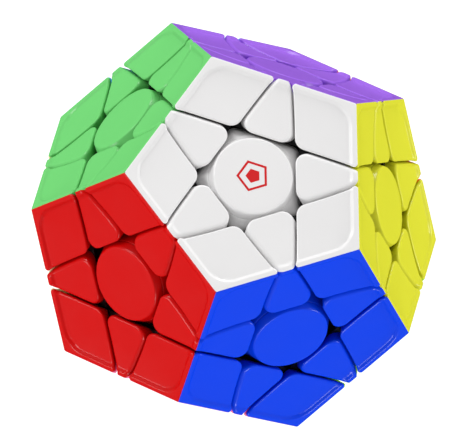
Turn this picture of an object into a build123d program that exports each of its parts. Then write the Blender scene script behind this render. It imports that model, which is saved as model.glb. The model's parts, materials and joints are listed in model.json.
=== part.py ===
from build123d import *
from itertools import combinations
from math import acos, cos, degrees, radians, sin, sqrt, tan
import os

# A dodecahedral twisty puzzle. The origin is the centre of the puzzle, +Z is
# the axis of the white face, and the grey face opposite is the one it rests on.
# Twelve hubs are screwed to a ball at the middle. The edges and corners are held
# by feet: a corner's foot hooks under three edges, and an edge's foot under two hubs.

# Driving dimensions, in millimetres and degrees
FACE_TO_FACE = 66.0          # between opposite faces
CORNER_SHARE = 0.458         # of a face's side that a corner piece takes at each end
CLEARANCE = 0.3              # between any two pieces that slide past each other
WALL = 1.2                   # plastic round the hollow of an edge or a corner
FACE_DISH = 0.85             # how far each face is dished, at the cap
DISH_REACH = 10.0            # apothem of the pentagon inside which the dish is flat
RIM_WIDTH = 0.9              # of the flush rim round each face
STEP_WIDTH = 0.5             # of the steep step behind the rim
STEP_DEPTH = 0.35
STEP_CORNER = 3.0            # radius of the step at the puzzle's corners
NECK_ANGLE = 44.0            # half angle of the cone that parts a layer below its cut
FOOT_ANGLE = 51.5            # the same at the level of the feet
FOOT_TOP = 20.5              # radius of the sphere under which the feet are held
FOOT_START = 6.0             # anywhere inside the ball
CORE_RADIUS = 13.9           # the ball at the middle
POST_RADIUS = 2.4            # the twelve posts of the ball
POST_TOP = 20.2

CAP_THICKNESS = 1.6          # of the round cap in the middle of each face
CAP_FILLET = 0.4
PLUG_DEPTH = 1.6             # how far the cap's rim goes down into the hub
PLUG_WALL = 1.0
PLUG_GAP = 0.05
HUB_MOUTH = 6.9              # inner radius of the hub's rim
HUB_FLOOR = 1.5
HUB_WELL_FLOOR = 24.2        # bottom of the hollow round the spring's tube
TUBE_WALL = 1.0
TUBE_TOP = 29.6
POCKET_RADIUS = 3.6          # round the spring

SCREW_RADIUS = 1.5
SCREW_GAP = 0.08             # round the shank, in the hub, the washer and the ball
SCREW_TIP = 9.0              # distance of the screw's tip from the centre
HEAD_RADIUS = 2.9
HEAD_HEIGHT = 1.8
HEAD_FILLET = 0.5
DRIVE_WIDTH = 0.9            # cross recess in the head
DRIVE_LENGTH = 3.2
DRIVE_DEPTH = 1.0
SPRING_LENGTH = 5.5
SPRING_WIRE = 0.5            # diameter
SPRING_RADIUS = 2.5          # to the middle of the wire
SPRING_TURNS = 4
SPRING_GAP = 0.1             # between the spring and the floor it presses on
WASHER_RADIUS = 3.1
WASHER_THICKNESS = 0.5

# Geometry of the dodecahedron
FACE_STEP = 72.0                                   # between the sides of a pentagon
AXIS_ANGLE = degrees(acos(1 / sqrt(5)))            # between two adjacent face axes
FACE_HEIGHT = FACE_TO_FACE / 2
SIDE = FACE_HEIGHT / 1.11351636                    # of the pentagonal face
APOTHEM = SIDE / 2 / tan(radians(FACE_STEP / 2))
CUT_DEPTH = CORNER_SHARE * SIDE * sin(radians(FACE_STEP)) * sin(radians(AXIS_ANGLE))
CUT_HEIGHT = FACE_HEIGHT - CUT_DEPTH               # a layer is what lies above this
RIM = 45.0                                         # beyond the puzzle's corners

# The stack inside a hub, as heights along the face's axis
HALF_GAP = CLEARANCE / 2
FLOOR_TOP = FOOT_TOP + HALF_GAP + HUB_FLOOR
SPRING_BASE = FLOOR_TOP + SPRING_GAP
WASHER_BASE = SPRING_BASE + SPRING_LENGTH
HEAD_BASE = WASHER_BASE + WASHER_THICKNESS
CAP_TOP = FACE_HEIGHT - FACE_DISH
HUB_TOP = CAP_TOP - CAP_THICKNESS

# Azimuth of each face about +Z, and its angle down from +Z
FACES = {
    "white": (0.0, 0.0),
    "yellow": (18.0, AXIS_ANGLE),
    "purple": (90.0, AXIS_ANGLE),
    "green": (162.0, AXIS_ANGLE),
    "red": (234.0, AXIS_ANGLE),
    "blue": (306.0, AXIS_ANGLE),
    "orange": (54.0, 180.0 - AXIS_ANGLE),
    "sky": (126.0, 180.0 - AXIS_ANGLE),
    "cream": (198.0, 180.0 - AXIS_ANGLE),
    "pink": (270.0, 180.0 - AXIS_ANGLE),
    "lime": (342.0, 180.0 - AXIS_ANGLE),
    "grey": (0.0, 180.0),
}
# No two of these faces touch, so each can carry its whole layer round
TURNING_FACES = {"white", "orange", "pink"}


def direction(azimuth, tilt):
    """Unit vector at an azimuth about +Z, tilted down from +Z."""
    flat = sin(radians(tilt))
    return Vector(flat * cos(radians(azimuth)), flat * sin(radians(azimuth)), cos(radians(tilt)))


AXES = {name: direction(*angles) for name, angles in FACES.items()}
AXIS_PLACES = [Plane(origin=(0, 0, 0), z_dir=axis).location for axis in AXES.values()]


def touching(*names):
    """Whether every two of these faces share a side."""
    return all(abs(AXES[a].dot(AXES[b]) - 1 / sqrt(5)) < 0.01 for a, b in combinations(names, 2))


def piece_place(face, neighbour):
    """Location whose Z is a face's axis and whose X leans towards a neighbouring face."""
    return Plane(origin=(0, 0, 0), x_dir=AXES[neighbour], z_dir=AXES[face]).location


def beside(azimuth):
    """Location of the +Z face's neighbour at an azimuth, with its X leaning back to +Z."""
    axis = direction(azimuth, AXIS_ANGLE)
    return Plane(origin=(0, 0, 0), x_dir=(0, 0, 1), z_dir=axis).location


def cone_point(half_angle, growth, along):
    """Point of a profile, along a ray from the centre and off it by the growth."""
    slope = radians(half_angle)
    return (along * sin(slope) + growth * cos(slope), along * cos(slope) - growth * sin(slope))


def sphere_point(half_angle, radius):
    """Point of a profile at a distance from the centre."""
    return cone_point(half_angle, 0, radius)


def build_layer(growth, top):
    """All that a layer carries round +Z, grown on every side but its top.

    Above the cut it is everything up to the top. Below, it is a cone for the
    necks and a wider cone for the feet, and a sphere parts the two.
    """
    foot_sphere = FOOT_TOP + growth
    along = sqrt(foot_sphere**2 - growth**2)
    foot_low = cone_point(FOOT_ANGLE, growth, FOOT_START)
    foot_high = cone_point(FOOT_ANGLE, growth, along)
    neck_low = cone_point(NECK_ANGLE, growth, along)
    cut = CUT_HEIGHT - growth
    slope = radians(NECK_ANGLE)
    neck_high = cone_point(NECK_ANGLE, growth, (cut + growth * sin(slope)) / cos(slope))
    step_middle = sphere_point((FOOT_ANGLE + NECK_ANGLE) / 2, foot_sphere)
    with BuildPart() as layer:
        with BuildSketch(Plane.XZ):
            with BuildLine():
                Polyline((0, foot_low[1]), foot_low, foot_high)
                ThreePointArc(foot_high, step_middle, neck_low)
                Polyline(neck_low, neck_high, (RIM, cut), (RIM, top), (0, top), (0, foot_low[1]))
            make_face()
        revolve(axis=Axis.Z)
    return layer.part


def build_slab(low, high):
    """Flat disc between two heights along +Z."""
    with BuildPart() as slab:
        with BuildSketch(Plane.XY.offset(low)):
            Circle(RIM)
        extrude(amount=high - low)
    return slab.part


def build_dish():
    """The shallow hollow of the +Z face: a steep step behind the rim, then a gentle slope."""
    step_low = APOTHEM - RIM_WIDTH - STEP_WIDTH
    levels = (
        (APOTHEM - RIM_WIDTH, FACE_HEIGHT, STEP_CORNER + STEP_WIDTH),
        (step_low, FACE_HEIGHT - STEP_DEPTH, STEP_CORNER),
        (DISH_REACH, FACE_HEIGHT - FACE_DISH, STEP_CORNER),
    )
    with BuildPart() as dish:
        for reach, height, corner in levels:
            with BuildSketch(Plane.XY.offset(height)) as outline:
                RegularPolygon(reach, 5, major_radius=False, rotation=FACE_STEP / 2)
                fillet(outline.vertices(), corner)
        loft(ruled=True)
    return dish.part


def build_corner_hollow():
    """The space inside a corner, a wall's thickness in from its three cuts and three faces."""
    slab = build_slab(CUT_HEIGHT + HALF_GAP + WALL, CAP_TOP - WALL)
    with BuildPart() as hollow:
        add(slab)
        for azimuth in (0, FACE_STEP):
            with Locations(beside(azimuth)):
                add(slab, mode=Mode.INTERSECT)
    return hollow.part


def build_edge_hollow():
    """The space inside an edge, a wall's thickness in from its four cuts and two faces."""
    slab = build_slab(CUT_HEIGHT + HALF_GAP + WALL, CAP_TOP - WALL)
    end_slab = build_slab(CUT_HEIGHT - HALF_GAP - WALL, RIM)
    with BuildPart() as hollow:
        add(slab)
        with Locations(beside(0)):
            add(slab, mode=Mode.INTERSECT)
        with Locations(beside(FACE_STEP), beside(-FACE_STEP)):
            add(end_slab, mode=Mode.SUBTRACT)
    return hollow.part


def build_corner():
    """Corner of +Z and its neighbours at 0 and 72 degrees: what all three layers carry."""
    layer = build_layer(-HALF_GAP, FACE_HEIGHT)
    with BuildPart() as corner:
        add(layer)
        for azimuth in (0, FACE_STEP):
            with Locations(beside(azimuth)):
                add(layer, mode=Mode.INTERSECT)
        Sphere(CORE_RADIUS + CLEARANCE, mode=Mode.SUBTRACT)
        add(build_corner_hollow(), mode=Mode.SUBTRACT)
        with Locations(Location(), beside(0), beside(FACE_STEP)):
            add(build_dish(), mode=Mode.SUBTRACT)
    return corner.part


def build_edge():
    """Edge of +Z and its neighbour at 0 degrees: what only those two layers carry."""
    layer = build_layer(-HALF_GAP, FACE_HEIGHT)
    end_layer = build_layer(HALF_GAP, RIM)
    with BuildPart() as edge:
        add(layer)
        with Locations(beside(0)):
            add(layer, mode=Mode.INTERSECT)
        with Locations(beside(FACE_STEP), beside(-FACE_STEP)):
            add(end_layer, mode=Mode.SUBTRACT)
        Sphere(RIM, mode=Mode.INTERSECT)
        Sphere(CORE_RADIUS + CLEARANCE, mode=Mode.SUBTRACT)
        add(build_edge_hollow(), mode=Mode.SUBTRACT)
        with Locations(Location(), beside(0)):
            add(build_dish(), mode=Mode.SUBTRACT)
    return edge.part


def flare_radius(height):
    """Radius of the hub's skirt, which clears the five layers that turn past it."""
    lean = radians(AXIS_ANGLE)
    return (CUT_HEIGHT - HALF_GAP - height * cos(lean)) / sin(lean)


def build_hub():
    """Hub of the +Z face: a round cup on a conical stem, with a tube for the spring."""
    stem_angle = AXIS_ANGLE - NECK_ANGLE
    slope = radians(NECK_ANGLE)
    underside = FOOT_TOP + HALF_GAP
    bore = SCREW_RADIUS + SCREW_GAP
    bore_low = (bore, sqrt(underside**2 - bore**2))
    stem_low = cone_point(stem_angle, -HALF_GAP, sqrt(underside**2 - HALF_GAP**2))
    widest = (CUT_HEIGHT - HALF_GAP + HALF_GAP * sin(slope)) / cos(slope)
    stem_high = cone_point(stem_angle, -HALF_GAP, widest)
    tube = POCKET_RADIUS + TUBE_WALL
    with BuildPart() as hub:
        with BuildSketch(Plane.XZ):
            with BuildLine():
                ThreePointArc(bore_low, sphere_point(stem_angle / 2, underside), stem_low)
                Polyline(stem_low, stem_high, (flare_radius(HUB_TOP), HUB_TOP), (HUB_MOUTH, HUB_TOP))
                Polyline((HUB_MOUTH, HUB_TOP), (HUB_MOUTH, HUB_WELL_FLOOR), (tube, HUB_WELL_FLOOR))
                Polyline((tube, HUB_WELL_FLOOR), (tube, TUBE_TOP), (POCKET_RADIUS, TUBE_TOP))
                Polyline((POCKET_RADIUS, TUBE_TOP), (POCKET_RADIUS, FLOOR_TOP), (bore, FLOOR_TOP))
                Line((bore, FLOOR_TOP), bore_low)
            make_face()
        revolve(axis=Axis.Z)
    return hub.part


def build_cap():
    """Round cap of the +Z face: it carries on the hub's skirt, and its rim plugs into the hub."""
    plug = HUB_MOUTH - PLUG_GAP
    top_rim = (flare_radius(CAP_TOP), CAP_TOP)
    low_rim = (flare_radius(HUB_TOP), HUB_TOP)
    with BuildPart() as cap:
        with BuildSketch(Plane.XZ):
            with BuildLine():
                Polyline((0, HUB_TOP), low_rim, top_rim, (0, CAP_TOP), (0, HUB_TOP))
            make_face()
        revolve(axis=Axis.Z)
        fillet(cap.edges().group_by(Axis.Z)[-1], CAP_FILLET)
        with BuildSketch(Plane.XY.offset(HUB_TOP)):
            Circle(plug)
            Circle(plug - PLUG_WALL, mode=Mode.SUBTRACT)
        extrude(amount=-PLUG_DEPTH)
    return cap.part


def build_core():
    """Ball at the middle, with a drilled post for each hub."""
    with BuildPart() as core:
        Sphere(CORE_RADIUS)
        with Locations(*AXIS_PLACES):
            Cylinder(POST_RADIUS, POST_TOP, align=(Align.CENTER, Align.CENTER, Align.MIN))
        with Locations(*[place * Pos(0, 0, SCREW_TIP) for place in AXIS_PLACES]):
            Cylinder(
                SCREW_RADIUS + SCREW_GAP,
                POST_TOP,
                align=(Align.CENTER, Align.CENTER, Align.MIN),
                mode=Mode.SUBTRACT,
            )
    return core.part


def build_screw():
    """Screw of the +Z face, head outwards, with a cross recess."""
    with BuildPart() as screw:
        with BuildSketch(Plane.XY.offset(HEAD_BASE)):
            Circle(HEAD_RADIUS)
        extrude(amount=HEAD_HEIGHT)
        fillet(screw.edges().group_by(Axis.Z)[-1], HEAD_FILLET)
        with BuildSketch(Plane.XY.offset(SCREW_TIP)):
            Circle(SCREW_RADIUS)
        extrude(amount=HEAD_BASE - SCREW_TIP)
        with BuildSketch(Plane.XY.offset(HEAD_BASE + HEAD_HEIGHT)):
            Rectangle(DRIVE_LENGTH, DRIVE_WIDTH)
            Rectangle(DRIVE_WIDTH, DRIVE_LENGTH)
        extrude(amount=-DRIVE_DEPTH, mode=Mode.SUBTRACT)
    return screw.part


def build_spring():
    """Spring of the +Z face, round the screw between the hub's floor and the washer."""
    rise = SPRING_LENGTH - SPRING_WIRE
    start = SPRING_BASE + SPRING_WIRE / 2
    with BuildPart() as spring:
        with BuildLine():
            coil = Helix(rise / SPRING_TURNS, rise, SPRING_RADIUS, center=(0, 0, start))
        with BuildSketch(Plane(origin=coil @ 0, z_dir=coil % 0)):
            Circle(SPRING_WIRE / 2)
        sweep(path=coil, is_frenet=True)
    return spring.part


def build_washer():
    """Washer of the +Z face, between the spring and the screw's head."""
    with BuildPart() as washer:
        with BuildSketch(Plane.XY.offset(WASHER_BASE)):
            Circle(WASHER_RADIUS)
            Circle(SCREW_RADIUS + SCREW_GAP, mode=Mode.SUBTRACT)
        extrude(amount=WASHER_THICKNESS)
    return washer.part


def write_node(name, blank, places):
    """Write one node: a copy of the blank at each place."""
    with BuildPart() as node:
        with Locations(*places):
            add(blank)
    node.part.label = name
    export_step(node.part, f"parts/{name}.step")


def write_pieces(kind, blank, corners_or_sides):
    """Write each piece of a turning layer as its own node, and the others as one group."""
    still = []
    for names in corners_or_sides:
        place = piece_place(names[0], names[1])
        if TURNING_FACES.intersection(names):
            write_node("_".join((kind, *names)), blank, [place])
        else:
            still.append(place)
    write_node(f"fixed_{kind}s", blank, still)


def right_handed(names):
    """The three faces of a corner, in the order that runs anticlockwise seen from outside."""
    first, second, third = names
    if AXES[first].cross(AXES[second]).dot(AXES[third]) < 0:
        return (first, third, second)
    return names


os.makedirs("parts", exist_ok=True)
write_node("core", build_core(), [Location()])
write_node("spindle_screws", build_screw(), AXIS_PLACES)
write_node("tension_springs", build_spring(), AXIS_PLACES)
write_node("spring_washers", build_washer(), AXIS_PLACES)
hub = build_hub()
cap = build_cap()
for face, place in zip(FACES, AXIS_PLACES):
    write_node(f"{face}_centre_hub", hub, [place])
    write_node(f"{face}_centre_cap", cap, [place])
sides = [names for names in combinations(FACES, 2) if touching(*names)]
vertices = [right_handed(names) for names in combinations(FACES, 3) if touching(*names)]
write_pieces("edge", build_edge(), sides)
write_pieces("corner", build_corner(), vertices)
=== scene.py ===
"""Visual model of a dodecahedral twisty puzzle.

The puzzle is a ball with twelve screwed-on centres, thirty edges and twenty
corners, modelled as solid-coloured ABS. Each edge and corner is drawn as a
black inner piece with a separate coloured tile on every outer side. The inner
pieces and their black are assumed. Sizes inside the classes are in
millimetres; meshes are written in metres.
"""

import json
import logging
import math
from dataclasses import dataclass
from enum import Enum
from itertools import combinations

import bmesh
import bpy
import numpy as np
from mathutils import Matrix, Vector

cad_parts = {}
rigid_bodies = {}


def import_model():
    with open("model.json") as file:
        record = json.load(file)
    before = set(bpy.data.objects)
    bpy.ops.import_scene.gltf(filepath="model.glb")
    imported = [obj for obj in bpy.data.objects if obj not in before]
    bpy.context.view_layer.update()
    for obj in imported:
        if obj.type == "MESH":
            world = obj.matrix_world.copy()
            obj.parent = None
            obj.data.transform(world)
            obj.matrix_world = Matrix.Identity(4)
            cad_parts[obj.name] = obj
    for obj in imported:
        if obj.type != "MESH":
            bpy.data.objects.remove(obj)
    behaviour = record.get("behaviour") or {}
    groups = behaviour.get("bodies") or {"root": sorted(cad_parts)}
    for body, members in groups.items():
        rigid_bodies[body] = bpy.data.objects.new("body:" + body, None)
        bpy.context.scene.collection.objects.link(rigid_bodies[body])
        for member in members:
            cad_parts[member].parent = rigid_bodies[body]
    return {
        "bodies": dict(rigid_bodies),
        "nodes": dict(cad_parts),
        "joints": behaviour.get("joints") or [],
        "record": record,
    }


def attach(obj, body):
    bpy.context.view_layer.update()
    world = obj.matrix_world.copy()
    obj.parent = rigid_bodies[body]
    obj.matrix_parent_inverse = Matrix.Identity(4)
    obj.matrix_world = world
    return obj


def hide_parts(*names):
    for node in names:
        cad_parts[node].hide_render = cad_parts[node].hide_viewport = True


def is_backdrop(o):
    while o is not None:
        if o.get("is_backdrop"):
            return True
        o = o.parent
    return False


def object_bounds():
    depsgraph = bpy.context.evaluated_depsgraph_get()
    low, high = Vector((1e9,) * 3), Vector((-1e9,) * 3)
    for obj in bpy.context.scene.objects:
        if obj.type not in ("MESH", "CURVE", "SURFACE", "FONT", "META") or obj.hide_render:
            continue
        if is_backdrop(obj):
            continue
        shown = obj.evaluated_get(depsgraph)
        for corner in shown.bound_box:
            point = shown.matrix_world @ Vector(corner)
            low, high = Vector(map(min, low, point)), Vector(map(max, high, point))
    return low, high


LOG = logging.getLogger("twisty_puzzle")
MM = 0.001

# Angles and ratios of the regular dodecahedron; slopes are sideways per unit of depth
FACE_STEP = math.radians(72.0)
AXIS_ANGLE = math.acos(1.0 / math.sqrt(5.0))
MITRE_ANGLE = AXIS_ANGLE / 2.0
MITRE_SLOPE = math.tan(MITRE_ANGLE)
CUT_SLOPE = 1.0 / math.tan(AXIS_ANGLE)
SIDE_PER_INRADIUS = 2.0 / math.sqrt(2.5 + 1.1 * math.sqrt(5.0))
APOTHEM_PER_SIDE = 0.5 / math.tan(FACE_STEP / 2.0)


# --------------------------------------------------------------------------
# Finishes


def srgb(code: str) -> tuple[float, float, float, float]:
    """Turn an sRGB hex code into linear colour.

    Args:
        code: Six hex digits, with or without a leading hash.

    Returns:
        Linear red, green, blue and an alpha of one.
    """
    digits = code.lstrip("#")
    values = [int(digits[i : i + 2], 16) / 255.0 for i in (0, 2, 4)]
    linear = [v / 12.92 if v <= 0.04045 else ((v + 0.055) / 1.055) ** 2.4 for v in values]
    return (linear[0], linear[1], linear[2], 1.0)


def add_node(
    tree: bpy.types.NodeTree,
    kind: str,
    settings: dict[str, object] | None = None,
    inputs: dict[str, object] | None = None,
    links: dict[str, bpy.types.NodeSocket] | None = None,
) -> bpy.types.Node:
    """Add one node with its settings, values and incoming links.

    Args:
        tree: Node tree that takes the node.
        kind: Blender's type name of the node.
        settings: Properties of the node itself.
        inputs: Values for its input sockets, by name.
        links: Output sockets to join to its inputs, by input name.

    Returns:
        The new node.
    """
    node = tree.nodes.new(kind)
    for name, value in (settings or {}).items():
        setattr(node, name, value)
    for name, value in (inputs or {}).items():
        node.inputs[name].default_value = value
    for name, socket in (links or {}).items():
        tree.links.new(socket, node.inputs[name])
    return node


def start_material(name: str) -> tuple[bpy.types.Material, bpy.types.NodeTree, bpy.types.Node]:
    """Make a node material that holds only the texture coordinates so far.

    Args:
        name: Name of the material.

    Returns:
        The material, its node tree, and the texture coordinate node.
    """
    material = bpy.data.materials.new(name)
    material.use_nodes = True
    tree = material.node_tree
    tree.nodes.clear()
    coordinates = add_node(tree, "ShaderNodeTexCoord")
    return material, tree, coordinates


@dataclass(frozen=True)
class MouldedABS:
    """Injection-moulded ABS: through-coloured, satin from a fine spark-eroded mould.

    The eye sees an even colour, a soft highlight, and a grain so fine that it
    only breaks up the highlight. The grain is drawn coarser than a real mould's,
    because finer would not show. The index of 1.53 is typical of ABS. The
    roughness and the sheen, which scales the specular level, are set for the
    look and aren't measured.
    """

    name: str
    colour: str
    roughness: float = 0.24
    sheen: float = 0.3
    grain_mm: float = 0.12
    flow_mm: float = 9.0
    flow_strength: float = 0.03
    wear_mm: float = 4.0
    wear_spread: float = 0.03
    grain_height_mm: float = 0.01
    grain_strength: float = 0.06

    def material(self) -> bpy.types.Material:
        """Build the shader: colour drifts slightly with the melt's flow, roughness with wear."""
        material, tree, coordinates = start_material(self.name)
        place = coordinates.outputs["Object"]
        flow = add_node(
            tree,
            "ShaderNodeTexNoise",
            inputs={"Scale": 1.0 / (self.flow_mm * MM), "Detail": 2.0, "Roughness": 0.45},
            links={"Vector": place},
        )
        base = srgb(self.colour)
        deep = tuple(c * (1.0 - self.flow_strength) for c in base[:3]) + (1.0,)
        tint = add_node(
            tree,
            "ShaderNodeMix",
            settings={"data_type": "RGBA"},
            links={0: flow.outputs["Fac"]},
        )
        tint.inputs[6].default_value = deep
        tint.inputs[7].default_value = base
        handled = add_node(
            tree,
            "ShaderNodeTexNoise",
            inputs={"Scale": 1.0 / (self.wear_mm * MM), "Detail": 3.0, "Roughness": 0.6},
            links={"Vector": place},
        )
        gloss = add_node(
            tree,
            "ShaderNodeMapRange",
            inputs={
                "To Min": self.roughness - self.wear_spread,
                "To Max": self.roughness + self.wear_spread,
            },
            links={"Value": handled.outputs["Fac"]},
        )
        grain = add_node(
            tree,
            "ShaderNodeTexNoise",
            inputs={"Scale": 1.0 / (self.grain_mm * MM), "Detail": 1.0},
            links={"Vector": place},
        )
        relief = add_node(
            tree,
            "ShaderNodeBump",
            inputs={"Strength": self.grain_strength, "Distance": self.grain_height_mm * MM},
            links={"Height": grain.outputs["Fac"]},
        )
        shader = add_node(
            tree,
            "ShaderNodeBsdfPrincipled",
            inputs={"IOR": 1.53, "Specular IOR Level": self.sheen},
            links={
                "Base Color": tint.outputs[2],
                "Roughness": gloss.outputs["Result"],
                "Normal": relief.outputs["Normal"],
            },
        )
        add_node(tree, "ShaderNodeOutputMaterial", links={"Surface": shader.outputs["BSDF"]})
        return material


@dataclass(frozen=True)
class MachinedSteel:
    """Bright zinc-plated or spring steel: grey metal with fine turning or drawing marks."""

    name: str
    colour: str
    roughness: float
    mark_mm: float = 0.2
    smoother: float = 0.06
    rougher: float = 0.08

    def material(self) -> bpy.types.Material:
        """Build the shader: metal whose roughness follows the fine marks."""
        material, tree, coordinates = start_material(self.name)
        marks = add_node(
            tree,
            "ShaderNodeTexNoise",
            inputs={"Scale": 1.0 / (self.mark_mm * MM), "Detail": 4.0},
            links={"Vector": coordinates.outputs["Object"]},
        )
        gloss = add_node(
            tree,
            "ShaderNodeMapRange",
            inputs={
                "To Min": self.roughness - self.smoother,
                "To Max": self.roughness + self.rougher,
            },
            links={"Value": marks.outputs["Fac"]},
        )
        shader = add_node(
            tree,
            "ShaderNodeBsdfPrincipled",
            inputs={"Base Color": srgb(self.colour), "Metallic": 1.0},
            links={"Roughness": gloss.outputs["Result"]},
        )
        add_node(tree, "ShaderNodeOutputMaterial", links={"Surface": shader.outputs["BSDF"]})
        return material


class FaceColour(Enum):
    """The twelve plastics, named for the face that each one covers when solved."""

    WHITE = "#eae9e9"
    YELLOW = "#d1d12f"
    PURPLE = "#9661d7"
    GREEN = "#68c16b"
    RED = "#c20505"
    BLUE = "#023dde"
    ORANGE = "#f2701b"
    SKY = "#58b4ee"
    CREAM = "#efe2b4"
    PINK = "#f07cab"
    LIME = "#a4e03a"
    GREY = "#8b8e92"

    @property
    def face(self) -> str:
        """The face's name, as the frame's joints and nodes spell it."""
        return self.name.lower()


class Finishes:
    """The materials, each made once and shared by the pieces of that finish."""

    def __init__(self) -> None:
        """Make every material."""
        self.tiles = {
            colour.face: MouldedABS(f"abs_{colour.face}", colour.value).material()
            for colour in FaceColour
        }
        self.mechanism = MouldedABS("abs_black", "#17181a", roughness=0.42).material()
        self.core = MouldedABS("acetal_core", "#e6e6e2", roughness=0.5).material()
        self.ink = MouldedABS("pad_printed_ink", "#d3161b", roughness=0.5).material()
        self.screw = MachinedSteel("zinc_plated_steel", "#c9ccd0", 0.28).material()
        self.spring = MachinedSteel("spring_steel", "#b4b6b8", 0.35).material()


# --------------------------------------------------------------------------
# Mesh making


def make_piece(
    name: str, points: np.ndarray, polygons: list, material: bpy.types.Material, sharp: float = 28.0
) -> bpy.types.Object:
    """Write points and polygons into a new object at the origin.

    Args:
        name: Name of the object and its mesh.
        points: Rows of x, y and z in millimetres, in the puzzle's frame.
        polygons: Vertex indices of each polygon, anticlockwise from outside.
        material: Finish of the whole piece.
        sharp: Angle in degrees above which an edge stays sharp.

    Returns:
        The new object, linked to the scene.
    """
    mesh = bpy.data.meshes.new(name)
    mesh.from_pydata((points * MM).tolist(), [], polygons)
    mesh.materials.append(material)
    mesh.update()
    mesh.shade_smooth()
    mesh.set_sharp_from_angle(angle=math.radians(sharp))
    piece = bpy.data.objects.new(name, mesh)
    bpy.context.scene.collection.objects.link(piece)
    return piece


def ring_polygons(rings: int, samples: int, first_pole: int, last_pole: int) -> list:
    """Polygons of a surface made of closed rings between two poles.

    Args:
        rings: Number of rings, each running anticlockwise seen from outside the last pole.
        samples: Points in each ring.
        first_pole: Index of the point that closes the first ring.
        last_pole: Index of the point that closes the last ring.

    Returns:
        Quads between the rings, and triangles at the poles.
    """
    here = np.arange(samples)
    after = (here + 1) % samples
    low = (np.arange(rings - 1) * samples)[:, None]
    quads = np.stack(
        [low + here, low + after, low + samples + after, low + samples + here], axis=-1
    ).reshape(-1, 4)
    top = (rings - 1) * samples
    under = np.stack([after, here, np.full(samples, first_pole)], axis=-1)
    over = np.stack([top + here, top + after, np.full(samples, last_pole)], axis=-1)
    return quads.tolist() + under.tolist() + over.tolist()


def smooth_step(value: np.ndarray) -> np.ndarray:
    """Rise from 0 to 1 with level ends: three times the square less twice the cube."""
    held = np.clip(value, 0.0, 1.0)
    return held * held * (3.0 - 2.0 * held)


# --------------------------------------------------------------------------
# The puzzle's faces, axes and bodies


class PuzzleFrame:
    """Face axes, neighbours and bodies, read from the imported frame."""

    def __init__(self, frame: dict) -> None:
        """Read the frame.
        """
        self.axes = {}
        for joint in frame["joints"]:
            face = joint["name"].split("_")[0]
            self.axes[face] = np.array(joint["axis"], dtype=float)
        bodies = frame["record"]["behaviour"]["bodies"]
        self.body_of_node = {node: body for body, nodes in bodies.items() for node in nodes}
        low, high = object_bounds()
        self.inradius = (high[2] - low[2]) / 2.0 / MM
        self.nodes = frame["nodes"]

    def touching(self, names: tuple[str, ...]) -> bool:
        """Say whether every two of these faces share a side."""
        dots = [self.axes[a] @ self.axes[b] for a, b in combinations(names, 2)]
        return bool(np.allclose(dots, math.cos(AXIS_ANGLE), atol=0.01))

    def ring(self, face: str) -> list[str]:
        """List a face's five neighbours, anticlockwise seen from outside.

        Args:
            face: Name of the face.

        Returns:
            The neighbours' names.
        """
        around = [name for name in self.axes if name != face and self.touching((face, name))]
        basis = self.basis(face, around[0])
        angles = {n: math.atan2(self.axes[n] @ basis[:, 1], self.axes[n] @ basis[:, 0]) for n in around}
        return sorted(around, key=lambda n: angles[n] % (2.0 * math.pi - 0.01))

    def basis(self, face: str, towards: str) -> np.ndarray:
        """Give a face's own axes as matrix columns.

        Args:
            face: Face whose axis is the third column.
            towards: Neighbour to which the first column leans.

        Returns:
            A 3 by 3 rotation matrix.
        """
        out = self.axes[face]
        lean = self.axes[towards] - out * (out @ self.axes[towards])
        lean = lean / np.linalg.norm(lean)
        return np.stack([lean, np.cross(out, lean), out], axis=1)

    def node_for(self, kind: str, names: tuple[str, ...]) -> str:
        """Find the CAD node of an edge or corner.

        Args:
            kind: Either edge or corner.
            names: The faces that the piece shows.

        Returns:
            The piece's own node, or the node of the pieces that stay with the core.
        """
        for node in self.nodes:
            if node.startswith(kind) and set(node.split("_")[1:]) == set(names):
                return node
        return f"fixed_{kind}s"

    def sides(self) -> list[tuple[str, ...]]:
        """List the pairs of faces that share a side."""
        return [pair for pair in combinations(self.axes, 2) if self.touching(pair)]

    def vertices(self) -> list[tuple[str, ...]]:
        """List the faces round each corner, anticlockwise seen from outside."""
        found = []
        for first, second, third in combinations(self.axes, 3):
            if self.touching((first, second, third)):
                turn = np.cross(self.axes[first], self.axes[second]) @ self.axes[third]
                found.append((first, second, third) if turn > 0 else (first, third, second))
        return found


@dataclass(frozen=True)
class CutGeometry:
    """Where the cuts run on a face, in millimetres from its centre."""

    inradius: float
    corner_share: float = 0.458
    gap: float = 0.42

    @property
    def side(self) -> float:
        """Length of a pentagon's side."""
        return self.inradius * SIDE_PER_INRADIUS

    @property
    def apothem(self) -> float:
        """Distance from a face's centre to its sides."""
        return self.side * APOTHEM_PER_SIDE

    @property
    def cut(self) -> float:
        """Distance from a face's centre to its cuts."""
        return self.apothem - self.corner_share * self.side * math.sin(FACE_STEP)

    def flare(self, depth: float | np.ndarray) -> float | np.ndarray:
        """Radius of the centre's skirt at a depth below the face."""
        return self.cut - self.gap / 2.0 / math.sin(AXIS_ANGLE) + CUT_SLOPE * depth


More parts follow.
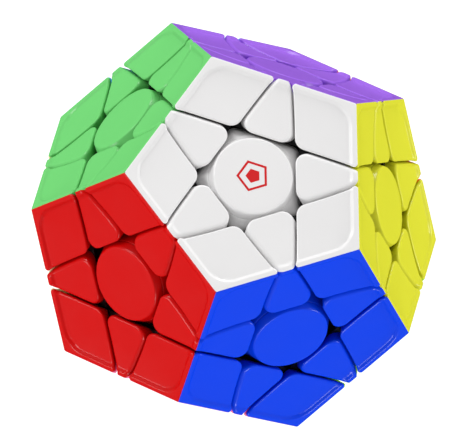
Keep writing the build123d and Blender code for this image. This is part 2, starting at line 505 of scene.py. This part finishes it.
@dataclass(frozen=True)
class FaceDish:
    """The shallow dish that all the tiles of a face share, behind a flush rim.

    A steep step follows the pentagon's sides and rounds its corners. Behind it
    the dish goes on down gently, and is level round the cap.
    """

    apothem: float
    rim_width: float = 0.85
    step_width: float = 0.6
    step_depth: float = 0.42
    step_corner: float = 4.6
    slope_depth: float = 0.43
    slope_start: float = 0.9
    slope_length: float = 8.6
    blend_power: float = 4.0
    nearest: float = 0.001

    @property
    def full_depth(self) -> float:
        """Depth of the dish round the cap."""
        return self.step_depth + self.slope_depth

    def depth(self, plan: np.ndarray) -> np.ndarray:
        """Depth of the dish at places on the face.

        The step's distance from the sides is a radius less the length of the
        shortfalls from that radius, which rounds the corners. The slope's
        distance is a power mean of the five, and its depth a parabola of it.

        Args:
            plan: Positions on the face, in its last axis.

        Returns:
            The depth at each position.
        """
        turn = np.arange(5) * FACE_STEP
        normals = np.stack([np.cos(turn), np.sin(turn)], axis=0)
        distance = np.maximum(self.apothem - plan @ normals, self.nearest)
        short = np.maximum(self.step_corner - distance, 0.0)
        behind = self.step_corner - np.sqrt((short**2).sum(axis=-1))
        step = smooth_step((behind - self.rim_width) / self.step_width)
        mean = (distance**-self.blend_power).sum(axis=-1) ** (-1.0 / self.blend_power)
        part = np.clip((mean - self.slope_start) / self.slope_length, 0.0, 1.0)
        return self.step_depth * step + self.slope_depth * part * (2.0 - part)


# --------------------------------------------------------------------------
# Tiles


class Border(Enum):
    """What lies along a side of a tile, and how far the wall leans in per millimetre of depth."""

    PUZZLE_EDGE = MITRE_SLOPE
    OWN_CUT = CUT_SLOPE
    FOREIGN_CUT = -CUT_SLOPE


@dataclass(frozen=True)
class TileShape:
    """A coloured tile: a rounded four-sided shell, whose top follows the face's dish.

    The outline's sides are lines at a distance from the face's centre. Each
    ring of the surface is that outline, moved in by its own inset on each side
    and rounded at each corner with its own radius. The walls follow the cuts
    down, and meet the neighbouring tile of the same piece on a mitre. Flats are
    the insets of the rings across the top; shrinks are the shares of the last
    one that close it; crowding draws a side's samples to one end.
    """

    geometry: CutGeometry
    dish: FaceDish
    angles: tuple[float, ...]
    borders: tuple[Border, ...]
    corner_radii: tuple[float, ...]
    flats: tuple[float, ...]
    shrinks: tuple[float, ...]
    crowding: tuple[float, ...]
    wall_depth: float = 3.4
    cut_fillet: float = 0.56
    edge_fillet: float = 0.42
    least_radius: float = 0.12
    least_step_radius: float = 0.8
    step_blend: float = 0.2
    arc_samples: int = 9
    side_samples: int = 18
    fillet_rings: int = 6

    def normals(self) -> np.ndarray:
        """Outward normal of each side, a row each."""
        turn = np.radians(np.array(self.angles))
        return np.stack([np.cos(turn), np.sin(turn)], axis=1)

    def reaches(self) -> np.ndarray:
        """Distance of each side's line from the face's centre along its own normal."""
        half = self.geometry.gap / 2.0 / math.sin(AXIS_ANGLE)
        found = {
            Border.PUZZLE_EDGE: self.geometry.apothem,
            Border.OWN_CUT: -self.geometry.cut - half,
            Border.FOREIGN_CUT: self.geometry.cut - half,
        }
        return np.array([found[border] for border in self.borders])

    def stations(self) -> tuple[np.ndarray, np.ndarray]:
        """Inset and depth of each ring on each side.

        The fillet along a cut is a quarter circle. The one along the puzzle's
        edge is an arc that ends on the mitre. Below them the walls run straight,
        and above them the rings step in across the top.

        Returns:
            Two arrays, of insets and of depths, with a row per ring and a column per side.
        """
        part = np.linspace(0.0, 1.0, self.fillet_rings)
        turn = part * math.pi / 2.0
        lean = MITRE_ANGLE * (1.0 - part)
        flats = np.array(self.flats)
        insets, depths = [], []
        for border in self.borders:
            if border is Border.PUZZLE_EDGE:
                depth = self.edge_fillet * (1.0 - np.cos(lean))
                inset = self.edge_fillet * (MITRE_SLOPE - np.sin(lean))
            else:
                depth = self.cut_fillet * (1.0 - np.sin(turn))
                inset = self.cut_fillet * (1.0 - np.cos(turn)) + border.value * depth
            wall = border.value * self.wall_depth
            insets.append(np.concatenate([[wall], inset, flats]))
            depths.append(np.concatenate([[self.wall_depth], depth, np.zeros(len(flats))]))
        return np.stack(insets, axis=1), np.stack(depths, axis=1)

    def radii(self, insets: np.ndarray) -> np.ndarray:
        """Corner radius of each ring.

        A radius shrinks as the ring moves in. At the puzzle's own corner it
        grows instead to that of the dish's step, so that the rings follow it.

        Args:
            insets: Inset of each ring on each side.

        Returns:
            A row per ring and a column per corner.
        """
        mean = np.maximum(insets.mean(axis=1), 0.0)[:, None]
        plain = np.maximum(np.array(self.corner_radii)[None, :] - mean, self.least_radius)
        rise = smooth_step(mean / (self.dish.rim_width + self.step_blend))
        follow = np.maximum(self.dish.step_corner - mean, self.least_step_radius)
        edges = np.array([border is Border.PUZZLE_EDGE for border in self.borders])
        both = edges & np.roll(edges, -1)
        return np.where(both[None, :], plain * (1.0 - rise) + follow * rise, plain)

    def rings(self) -> tuple[np.ndarray, np.ndarray, np.ndarray]:
        """Plan position, depth and lean of every sample of every ring.

        The lean is how a sample moves in plan for each millimetre that the dish
        lowers it, so that the walls stay on their cuts.

        Returns:
            Plan positions (rings, samples, 2), depths (rings, samples) and leans (samples, 2).
        """
        insets, depths = self.stations()
        reach = self.reaches()[None, :] - insets
        radii = self.radii(insets)
        normals = self.normals()
        slopes = np.array([border.value for border in self.borders])
        angles = np.radians(np.array(self.angles))
        part = np.linspace(0.0, 1.0, self.arc_samples)
        blend = smooth_step(part)[None, :]
        arcs, arc_depths, arc_leans = [], [], []
        for j in range(4):
            after = (j + 1) % 4
            turn = (angles[after] - angles[j]) % (2.0 * math.pi)
            pair = np.linalg.inv(normals[[j, after]])
            centre = (reach[:, [j, after]] - radii[:, j, None]) @ pair.T
            sweep = angles[j] + turn * part
            round_it = np.stack([np.cos(sweep), np.sin(sweep)], axis=1)
            arcs.append(centre[:, None, :] + radii[:, j, None, None] * round_it[None, :, :])
            arc_depths.append(depths[:, j, None] * (1.0 - blend) + depths[:, after, None] * blend)
            arc_leans.append(-pair @ slopes[[j, after]])
        plan, depth, lean = [], [], []
        even = np.linspace(0.0, 1.0, self.side_samples + 2)[1:-1]
        for j in range(4):
            power = self.crowding[j]
            step = even**power if power > 0 else 1.0 - (1.0 - even) ** -power
            start, end = arcs[j - 1][:, -1, :], arcs[j][:, 0, :]
            plan.append(start[:, None, :] + (end - start)[:, None, :] * step[None, :, None])
            plan.append(arcs[j])
            depth.append(np.repeat(depths[:, j, None], self.side_samples, axis=1))
            depth.append(arc_depths[j])
            lean.append(arc_leans[j - 1] + (arc_leans[j] - arc_leans[j - 1]) * step[:, None])
            lean.append(np.repeat(arc_leans[j][None, :], self.arc_samples, axis=0))
        return np.concatenate(plan, axis=1), np.concatenate(depth, axis=1), np.concatenate(lean)

    def surface(self) -> tuple[np.ndarray, list]:
        """Points and polygons of the tile, in the face's own axes.

        Returns:
            Points with x towards the first side, z out of the face and zero on it, and polygons.
        """
        plan, depth, lean = self.rings()
        middle = plan[-1].mean(axis=0)
        shrink = np.array(self.shrinks)[:, None, None]
        inner = middle + (plan[-1][None, :, :] - middle) * shrink
        plan = np.concatenate([plan, inner], axis=0)
        depth = np.concatenate([depth, np.zeros(inner.shape[:2])], axis=0)
        rings, samples = depth.shape
        lowered = self.dish.depth(plan)
        lowered[0] = 0.0
        first_flat = 1 + self.fillet_rings
        fade = np.clip(1.0 - (np.arange(rings) - first_flat) / (rings - first_flat), 0.0, 1.0)
        plan = plan + (lowered * fade[:, None])[:, :, None] * lean[None, :, :]
        depth = depth + lowered
        points = np.concatenate([plan, -depth[:, :, None]], axis=2).reshape(-1, 3)
        under = np.array([[middle[0], middle[1], -self.wall_depth]])
        over = np.array([[middle[0], middle[1], -float(self.dish.depth(middle[None, :])[0])]])
        points = np.concatenate([points, under, over], axis=0)
        return points, ring_polygons(rings, samples, len(points) - 2, len(points) - 1)


def corner_tile(geometry: CutGeometry, dish: FaceDish) -> TileShape:
    """Tile of a corner: a rhombus whose two outer sides carry the rim."""
    return TileShape(
        geometry=geometry,
        dish=dish,
        angles=(0.0, 72.0, 180.0, 252.0),
        borders=(Border.PUZZLE_EDGE, Border.PUZZLE_EDGE, Border.OWN_CUT, Border.OWN_CUT),
        corner_radii=(0.15, 0.7, 2.5, 0.7),
        flats=(0.66, 0.78, 0.88, 0.98, 1.08, 1.18, 1.28, 1.4, 1.56, 1.8, 2.2, 2.7),
        shrinks=(0.84, 0.66, 0.46, 0.24),
        crowding=(1.0, 1.0, 2.2, -2.2),
    )


def edge_tile(geometry: CutGeometry, dish: FaceDish) -> TileShape:
    """Tile of an edge: narrow at the puzzle's edge, broad and round beside the centre."""
    return TileShape(
        geometry=geometry,
        dish=dish,
        angles=(0.0, 72.0, 180.0, 288.0),
        borders=(Border.PUZZLE_EDGE, Border.FOREIGN_CUT, Border.OWN_CUT, Border.FOREIGN_CUT),
        corner_radii=(0.65, 2.1, 2.1, 0.65),
        flats=(0.62, 0.72, 0.82, 0.92, 1.02, 1.12, 1.22),
        shrinks=(0.955, 0.91, 0.86, 0.78, 0.62, 0.42, 0.2),
        crowding=(1.0, 2.2, 1.0, -2.2),
    )


class TileSet:
    """All the tiles, one for each colour that an edge or corner shows."""

    def __init__(
        self, puzzle: PuzzleFrame, geometry: CutGeometry, dish: FaceDish, finishes: Finishes
    ) -> None:
        """Work out the two tile surfaces once.

        Args:
            puzzle: Faces, axes and bodies.
            geometry: Where the cuts run.
            dish: Depth of the faces.
            finishes: The materials.
        """
        self.puzzle = puzzle
        self.inradius = geometry.inradius
        self.finishes = finishes
        self.surfaces = {
            "corner": corner_tile(geometry, dish).surface(),
            "edge": edge_tile(geometry, dish).surface(),
        }

    def build(self) -> None:
        """Make the tiles of every face."""
        for face in self.puzzle.axes:
            ring = self.puzzle.ring(face)
            for here, after in zip(ring, ring[1:] + ring[:1]):
                self.tile("edge", face, (here,))
                self.tile("corner", face, (here, after))

    def tile(self, kind: str, face: str, others: tuple[str, ...]) -> None:
        """Make one tile and let it ride with its piece.

        Args:
            kind: Either edge or corner.
            face: Face that the tile lies on, which gives its colour.
            others: The other faces that the piece shows; the tile's x leans to the first.
        """
        points, polygons = self.surfaces[kind]
        basis = self.puzzle.basis(face, others[0])
        placed = (points + np.array([0.0, 0.0, self.inradius])) @ basis.T
        name = f"{kind}_tile_{face}_on_{'_'.join(others)}"
        piece = make_piece(name, placed, polygons, self.finishes.tiles[face])
        node = self.puzzle.node_for(kind, (face, *others))
        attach(piece, self.puzzle.body_of_node[node])
        LOG.info("tile %s: %d polygons", name, len(polygons))


# --------------------------------------------------------------------------
# The black mechanism pieces under the tiles


@dataclass(frozen=True)
class MechanismPieces:
    """Necks and feet of the edges and corners, cut off where their tiles begin."""

    puzzle: PuzzleFrame
    finishes: Finishes
    tile_depth: float = 3.42
    weld: float = 0.002

    def template(self, node: str, faces: tuple[str, ...]) -> tuple[np.ndarray, list]:
        """Copy a CAD piece and slice off what its tiles stand for.

        Args:
            node: CAD node of the piece.
            faces: The faces that it shows.

        Returns:
            Points in millimetres, and polygons.
        """
        copy = bmesh.new()
        copy.from_mesh(self.puzzle.nodes[node].data)
        bmesh.ops.remove_doubles(copy, verts=copy.verts, dist=self.weld * MM)
        for face in faces:
            out = Vector(self.puzzle.axes[face])
            height = (self.puzzle.inradius - self.tile_depth) * MM
            cut = bmesh.ops.bisect_plane(
                copy,
                geom=copy.verts[:] + copy.edges[:] + copy.faces[:],
                plane_co=out * height,
                plane_no=out,
                clear_outer=True,
            )
            rim = [item for item in cut["geom_cut"] if isinstance(item, bmesh.types.BMEdge)]
            bmesh.ops.triangle_fill(copy, edges=rim, use_beauty=True, normal=out)
        bmesh.ops.remove_doubles(copy, verts=copy.verts, dist=self.weld * MM)
        bmesh.ops.recalc_face_normals(copy, faces=copy.faces)
        mesh = bpy.data.meshes.new("template")
        copy.to_mesh(mesh)
        copy.free()
        flat = np.empty(len(mesh.vertices) * 3)
        mesh.vertices.foreach_get("co", flat)
        polygons = [list(polygon.vertices) for polygon in mesh.polygons]
        bpy.data.meshes.remove(mesh)
        return flat.reshape(-1, 3) / MM, polygons

    def build(self) -> None:
        """Make the piece under every edge and corner from one template of each kind."""
        for kind, groups in (("edge", self.puzzle.sides()), ("corner", self.puzzle.vertices())):
            model = next(g for g in groups if not self.puzzle.node_for(kind, g).startswith("fixed"))
            points, polygons = self.template(self.puzzle.node_for(kind, model), model)
            home = self.puzzle.basis(model[0], model[1])
            for group in groups:
                turned = points @ (self.puzzle.basis(group[0], group[1]) @ home.T).T
                name = f"{kind}_mechanism_{'_'.join(group)}"
                piece = make_piece(name, turned, polygons, self.finishes.mechanism)
                node = self.puzzle.node_for(kind, group)
                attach(piece, self.puzzle.body_of_node[node])
                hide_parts(node)
            LOG.info("%d %s pieces of %d polygons", len(groups), kind, len(polygons))


# --------------------------------------------------------------------------
# Centres


@dataclass(frozen=True)
class Centre:
    """Hub and cap of one face: profiles turned about the face's axis.

    The cap's edge and the hub's skirt share one slope, which leans out below the
    face so that the neighbouring layers turn past it. Where the tiles turn with
    the centre, the skirt is round at the cap and spreads to a rounded pentagon
    below, to close the gaps between the tiles' inner corners. Where the centre
    turns alone it stays round. Depths are below the face.
    """

    puzzle: PuzzleFrame
    geometry: CutGeometry
    dish: FaceDish
    finishes: Finishes
    cap_thickness: float = 1.6
    cap_fillet: float = 0.4
    cap_seam: float = 0.06
    edge_break: float = 0.12
    clearance: float = 0.02
    flat_margin: float = 1.2
    flat_share: float = 0.4
    plug_radius: float = 6.85
    plug_wall: float = 1.0
    plug_depth: float = 1.5
    waist_depth: float = 4.89
    waist_radius: float = 9.76
    stem_depth: float = 12.42
    stem_radius: float = 6.73
    stem_rise: float = 1.06
    stem_round: float = 0.2
    waist_edge: float = 0.3
    waist_land: float = 0.25
    rim_break: float = 0.1
    bore_radius: float = 1.6
    floor_depth: float = 10.85
    pocket_radius: float = 3.6
    tube_radius: float = 4.6
    tube_depth: float = 3.4
    well_depth: float = 8.8
    mouth_radius: float = 6.9
    spread_start: float = 0.9
    spread_length: float = 3.0
    spread_share: float = 0.94
    spread_power: float = 16.0
    samples: int = 120

    def lathe(self, profile: np.ndarray, closed: bool, spreads: bool) -> tuple[np.ndarray, list]:
        """Turn a profile about the face's axis.

        A point of the surface is the profile's radius times the cosine and
        sine of the turn, at the profile's height. On the skirt the radius is
        also multiplied by a share of a rounded pentagon's, which is a power mean
        of the cosines to its five sides.

        Args:
            profile: Rows of radius and height, running up the outside.
            closed: Whether the profile is a loop, rather than ending on the axis.
            spreads: Whether the skirt spreads to a pentagon.

        Returns:
            Points and polygons in the face's own axes.
        """
        turn = np.linspace(0.0, 2.0 * math.pi, self.samples, endpoint=False)
        toward = np.cos(turn[:, None] - np.arange(5)[None, :] * FACE_STEP)
        mean = (np.maximum(toward, 0.0) ** self.spread_power).sum(axis=1)
        pentagon = mean ** (-1.0 / self.spread_power) - 1.0
        radius, height = profile[:, :1], profile[:, 1:]
        below = -height - self.dish.full_depth - self.spread_start
        spread = self.spread_share * smooth_step(below / self.spread_length)
        skirt = spreads & (radius > self.mouth_radius)
        radius = radius * (1.0 + np.where(skirt, spread * pentagon, 0.0))
        flat = np.broadcast_to(height, (len(profile), self.samples))
        points = np.stack([radius * np.cos(turn), radius * np.sin(turn), flat], axis=-1)
        points = points.reshape(-1, 3)
        if not closed:
            poles = np.array([[0.0, 0.0, profile[0, 1]], [0.0, 0.0, profile[-1, 1]]])
            points = np.concatenate([points, poles], axis=0)
            return points, ring_polygons(len(profile), self.samples, len(points) - 2, len(points) - 1)
        low = np.arange(len(profile))[:, None] * self.samples
        high = np.roll(low, -1, axis=0)
        here = np.arange(self.samples)[None, :]
        after = (here + 1) % self.samples
        quads = np.stack([low + here, low + after, high + after, high + here], axis=-1)
        return points, quads.reshape(-1, 4).tolist()

    def cap_profile(self) -> np.ndarray:
        """Profile of the cap: a rim that plugs into the hub, the cone, the fillet and the top."""
        sunk = self.dish.full_depth
        base = -sunk - self.cap_thickness
        low = self.geometry.flare(-base)
        high = self.geometry.flare(sunk)
        lean = math.pi / 2.0 - AXIS_ANGLE
        reach = self.cap_fillet * math.tan((math.pi / 2.0 - lean) / 2.0)
        turn = np.linspace(lean, math.pi / 2.0, 7)
        fillet = np.stack(
            [
                high - self.cap_seam - reach + self.cap_fillet * np.cos(turn),
                -sunk - self.cap_fillet + self.cap_fillet * np.sin(turn),
            ],
            axis=1,
        )
        inner = self.plug_radius - self.plug_wall
        start = np.array(
            [
                [inner * 0.5, base],
                [inner, base],
                [inner, base - self.plug_depth],
                [self.plug_radius, base - self.plug_depth],
                [self.plug_radius, base],
                [low - self.cap_seam - self.edge_break, base + self.clearance],
            ]
        )
        lowest = -base - self.clearance - self.edge_break
        depth = np.linspace(lowest, sunk + self.cap_fillet, 6)[:-1]
        side = np.stack([self.geometry.flare(depth) - self.cap_seam, -depth], axis=1)
        flat = high - reach - self.flat_margin
        top = np.array([[flat, -sunk], [high * self.flat_share, -sunk]])
        return np.concatenate([start, side, fillet, top], axis=0)

    def hub_profile(self) -> np.ndarray:
        """Profile of the hub, a loop: stem, skirt, mouth, well, spring tube, pocket and bore."""
        top = self.dish.full_depth + self.cap_thickness + self.clearance
        rim = self.geometry.flare(top) - self.cap_seam
        stem = np.array(
            [
                [self.bore_radius, -self.stem_depth],
                [self.stem_radius * 0.5, -self.stem_depth - self.stem_round],
                [self.stem_radius, -self.stem_depth - self.stem_rise],
                [self.waist_radius - self.rim_break, -self.waist_depth - self.waist_edge],
                [self.waist_radius, -self.waist_depth],
            ]
        )
        depth = np.linspace(self.waist_depth - self.waist_land, top + self.rim_break, 8)
        skirt = np.stack([self.geometry.flare(depth) - self.cap_seam, -depth], axis=1)
        inside = np.array(
            [
                [rim - self.rim_break, -top],
                [self.mouth_radius, -top],
                [self.mouth_radius, -self.well_depth],
                [self.tube_radius, -self.well_depth],
                [self.tube_radius, -self.tube_depth],
                [self.pocket_radius, -self.tube_depth],
                [self.pocket_radius, -self.floor_depth],
                [self.bore_radius, -self.floor_depth],
            ]
        )
        return np.concatenate([stem, skirt, inside], axis=0)

    def build(self) -> None:
        """Make the hub and the cap of every face."""
        shapes = {
            spreads: {
                "hub": self.lathe(self.hub_profile(), closed=True, spreads=spreads),
                "cap": self.lathe(self.cap_profile(), closed=False, spreads=spreads),
            }
            for spreads in (False, True)
        }
        for face in self.puzzle.axes:
            basis = self.puzzle.basis(face, self.puzzle.ring(face)[0])
            with_tiles = self.puzzle.body_of_node[f"{face}_centre_cap"] == f"{face}_layer"
            for part, (points, polygons) in shapes[with_tiles].items():
                placed = (points + np.array([0.0, 0.0, self.geometry.inradius])) @ basis.T
                piece = make_piece(f"centre_{part}_{face}", placed, polygons, self.finishes.tiles[face])
                node = f"{face}_centre_{part}"
                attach(piece, self.puzzle.body_of_node[node])
                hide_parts(node)
        LOG.info("12 centres: hub and cap each")


@dataclass(frozen=True)
class CapEmblem:
    """Plain pentagon pad-printed on the white cap."""

    puzzle: PuzzleFrame
    geometry: CutGeometry
    dish: FaceDish
    finishes: Finishes
    face: str = "white"
    ring_radius: float = 3.3
    ring_width: float = 0.55
    heart_radius: float = 1.5
    ink_height: float = 0.012
    sink: float = 0.1

    def pentagon(self, radii: tuple[float, ...], heights: tuple[float, ...]) -> np.ndarray:
        """Corners of pentagons of given radii at given heights, as one array of rings."""
        turn = np.arange(5) * FACE_STEP + FACE_STEP / 2.0
        rings = [
            np.stack([r * np.cos(turn), r * np.sin(turn), np.full(5, z)], axis=1)
            for r, z in zip(radii, heights)
        ]
        return np.concatenate(rings, axis=0)

    def build(self) -> None:
        """Make the printed outline and the solid pentagon inside it."""
        basis = self.puzzle.basis(self.face, self.puzzle.ring(self.face)[0])
        lift = np.array([0.0, 0.0, self.geometry.inradius - self.dish.full_depth])
        low, high = -self.sink, self.ink_height
        outer, inner = self.ring_radius, self.ring_radius - self.ring_width
        here = np.arange(5)
        after = (here + 1) % 5
        points = self.pentagon((outer, outer, inner, inner), (low, high, high, low))
        starts = np.arange(4)[:, None] * 5
        ends = np.roll(starts, -1, axis=0)
        quads = np.stack([starts + here, starts + after, ends + after, ends + here], axis=-1)
        shapes = {"outline": (points, quads.reshape(-1, 4).tolist())}
        points = self.pentagon((self.heart_radius, self.heart_radius), (low, high))
        poles = np.array([[0.0, 0.0, low], [0.0, 0.0, high]])
        shapes["heart"] = (np.concatenate([points, poles]), ring_polygons(2, 5, 10, 11))
        for part, (points, polygons) in shapes.items():
            placed = (points + lift) @ basis.T
            piece = make_piece(f"printed_{part}", placed, polygons, self.finishes.ink)
            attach(piece, self.puzzle.body_of_node[f"{self.face}_centre_cap"])
            LOG.info("printed %s", part)


@dataclass(frozen=True)
class Spindle:
    """Core ball, screws, springs and washers: CAD pieces that only get their finish."""

    puzzle: PuzzleFrame
    finishes: Finishes

    def dress(self) -> None:
        """Assign each CAD node its material."""
        wanted = {
            "core": self.finishes.core,
            "spindle_screws": self.finishes.screw,
            "spring_washers": self.finishes.screw,
            "tension_springs": self.finishes.spring,
        }
        for node, material in wanted.items():
            for slot in self.puzzle.nodes[node].material_slots:
                slot.material = material
            LOG.info("dressed %s", node)


# --------------------------------------------------------------------------
# Studio


@dataclass(frozen=True)
class Studio:
    """Pale floor, soft lights and a long-lens camera above the puzzle.

    Places are along the camera's right, up and back directions. The camera's own
    scale and aim set how large the puzzle is in the frame, and where.
    """

    floor_level: float
    azimuth: float = -93.08
    elevation: float = 71.6
    roll: float = -21.02
    distance: float = 4000.0
    view_width: float = 89.134
    sensor: float = 36.0
    aim_right: float = -1.234
    aim_up: float = 0.327
    floor_half_width: float = 900.0
    light_size: float = 180.0
    floor_glow: float = 0.95
    tent_wall: float = 1.35
    tent_opening: float = 0.1

    def camera_axes(self) -> tuple[Vector, Vector, Vector]:
        """Right, up and back directions of the camera.

        Returns:
            Three unit vectors: level axes for the azimuth and elevation, turned by the roll.
        """
        azimuth, elevation = math.radians(self.azimuth), math.radians(self.elevation)
        back = Vector(
            (
                math.cos(elevation) * math.cos(azimuth),
                math.cos(elevation) * math.sin(azimuth),
                math.sin(elevation),
            )
        )
        level_right = Vector((0.0, 0.0, 1.0)).cross(back).normalized()
        level_up = back.cross(level_right)
        roll = math.radians(self.roll)
        up = level_up * math.cos(roll) + level_right * math.sin(roll)
        return up.cross(back), up, back

    def add_camera(self) -> None:
        """Place the camera and make it the scene's own."""
        right, up, back = self.camera_axes()
        data = bpy.data.cameras.new("camera")
        data.sensor_width = self.sensor
        data.lens = self.distance * self.sensor / self.view_width
        data.clip_start = 0.1
        data.clip_end = 50.0
        camera = bpy.data.objects.new("camera", data)
        aim = right * self.aim_right + up * self.aim_up
        turn = Matrix((right, up, back)).transposed().to_4x4()
        camera.matrix_world = Matrix.Translation((aim + back * self.distance) * MM) @ turn
        bpy.context.scene.collection.objects.link(camera)
        bpy.context.scene.camera = camera

    def add_light(self, name: str, at: tuple[float, float, float], power: float) -> None:
        """Add a square soft light aimed at the puzzle.

        Args:
            name: Name of the light.
            at: Place along the camera's right, up and back directions, in millimetres.
            power: Power in watts.
        """
        axes = self.camera_axes()
        place = axes[0] * at[0] + axes[1] * at[1] + axes[2] * at[2]
        data = bpy.data.lights.new(name, "AREA")
        data.size = self.light_size * MM
        data.energy = power
        light = bpy.data.objects.new(name, data)
        turn = place.to_track_quat("Z", "Y").to_matrix().to_4x4()
        light.matrix_world = Matrix.Translation(place * MM) @ turn
        bpy.context.scene.collection.objects.link(light)

    def light_table(self) -> bpy.types.Material:
        """Opal sheet over a light box, bright enough to lose the shadow.

        Returns:
            The floor's material.
        """
        material, tree, _ = start_material("studio_opal")
        shader = add_node(
            tree,
            "ShaderNodeBsdfPrincipled",
            inputs={
                "Base Color": srgb("#8c8c8c"),
                "Roughness": 0.9,
                "Emission Color": srgb("#ffffff"),
                "Emission Strength": self.floor_glow,
            },
        )
        add_node(tree, "ShaderNodeOutputMaterial", links={"Surface": shader.outputs["BSDF"]})
        return material

    def add_floor(self) -> None:
        """Lay a pale glowing floor under the puzzle, kept out of the reflections."""
        reach = self.floor_half_width
        steps = np.linspace(-reach, reach, 5)
        x, y = np.meshgrid(steps, steps)
        points = np.stack([x, y, np.full_like(x, self.floor_level / MM)], axis=-1).reshape(-1, 3)
        column = np.arange(4)[None, :] + 5 * np.arange(4)[:, None]
        quads = np.stack([column, column + 1, column + 6, column + 5], axis=-1).reshape(-1, 4)
        floor = make_piece("floor", points, quads.tolist(), self.light_table())
        floor.visible_glossy = False
        floor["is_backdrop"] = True

    def add_tent(self) -> None:
        """Surround the puzzle with a light tent that shows only as shade, not as reflections.

        Its walls are bright, and it is open where the camera looks in.
        """
        world = bpy.data.worlds.new("studio")
        world.use_nodes = True
        tree = world.node_tree
        background = tree.nodes["Background"]
        background.inputs["Color"].default_value = srgb("#ffffff")
        path = add_node(tree, "ShaderNodeLightPath")
        sky = add_node(tree, "ShaderNodeTexCoord")
        facing = add_node(
            tree,
            "ShaderNodeVectorMath",
            settings={"operation": "DOT_PRODUCT"},
            links={0: sky.outputs["Generated"]},
        )
        facing.inputs[1].default_value = self.camera_axes()[2]
        square = add_node(
            tree,
            "ShaderNodeMath",
            settings={"operation": "MULTIPLY"},
            links={0: facing.outputs["Value"], 1: facing.outputs["Value"]},
        )
        tent = add_node(
            tree,
            "ShaderNodeMapRange",
            inputs={"To Min": self.tent_wall, "To Max": self.tent_opening},
            links={"Value": square.outputs["Value"]},
        )
        strength = add_node(
            tree,
            "ShaderNodeMapRange",
            inputs={"To Max": 1.0},
            links={"Value": path.outputs["Is Camera Ray"], "To Min": tent.outputs["Result"]},
        )
        tree.links.new(strength.outputs["Result"], background.inputs["Strength"])
        world.cycles_visibility.glossy = False
        bpy.context.scene.world = world

    def build(self) -> None:
        """Set the camera, floor, lights and surroundings."""
        self.add_camera()
        self.add_floor()
        self.add_light("key", (-420.0, 380.0, 300.0), 1.3)
        self.add_light("back", (120.0, 580.0, -40.0), 0.8)
        self.add_light("right", (590.0, 60.0, 20.0), 1.0)
        self.add_light("left", (-550.0, -160.0, 180.0), 0.7)
        self.add_light("low", (80.0, -520.0, 260.0), 1.0)
        self.add_tent()
        bpy.context.scene.view_settings.view_transform = "Standard"
        LOG.info("studio set")


def main() -> None:
    """Build the puzzle and its studio in order, and report each piece."""
    logging.basicConfig(level=logging.INFO, format="%(message)s")
    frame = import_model()
    cad_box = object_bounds()
    puzzle = PuzzleFrame(frame)
    geometry = CutGeometry(puzzle.inradius)
    dish = FaceDish(geometry.apothem)
    finishes = Finishes()
    Studio(floor_level=cad_box[0][2]).build()
    TileSet(puzzle, geometry, dish, finishes).build()
    MechanismPieces(puzzle, finishes).build()
    Centre(puzzle, geometry, dish, finishes).build()
    CapEmblem(puzzle, geometry, dish, finishes).build()
    Spindle(puzzle, finishes).dress()


if __name__ == "__main__":
    main()
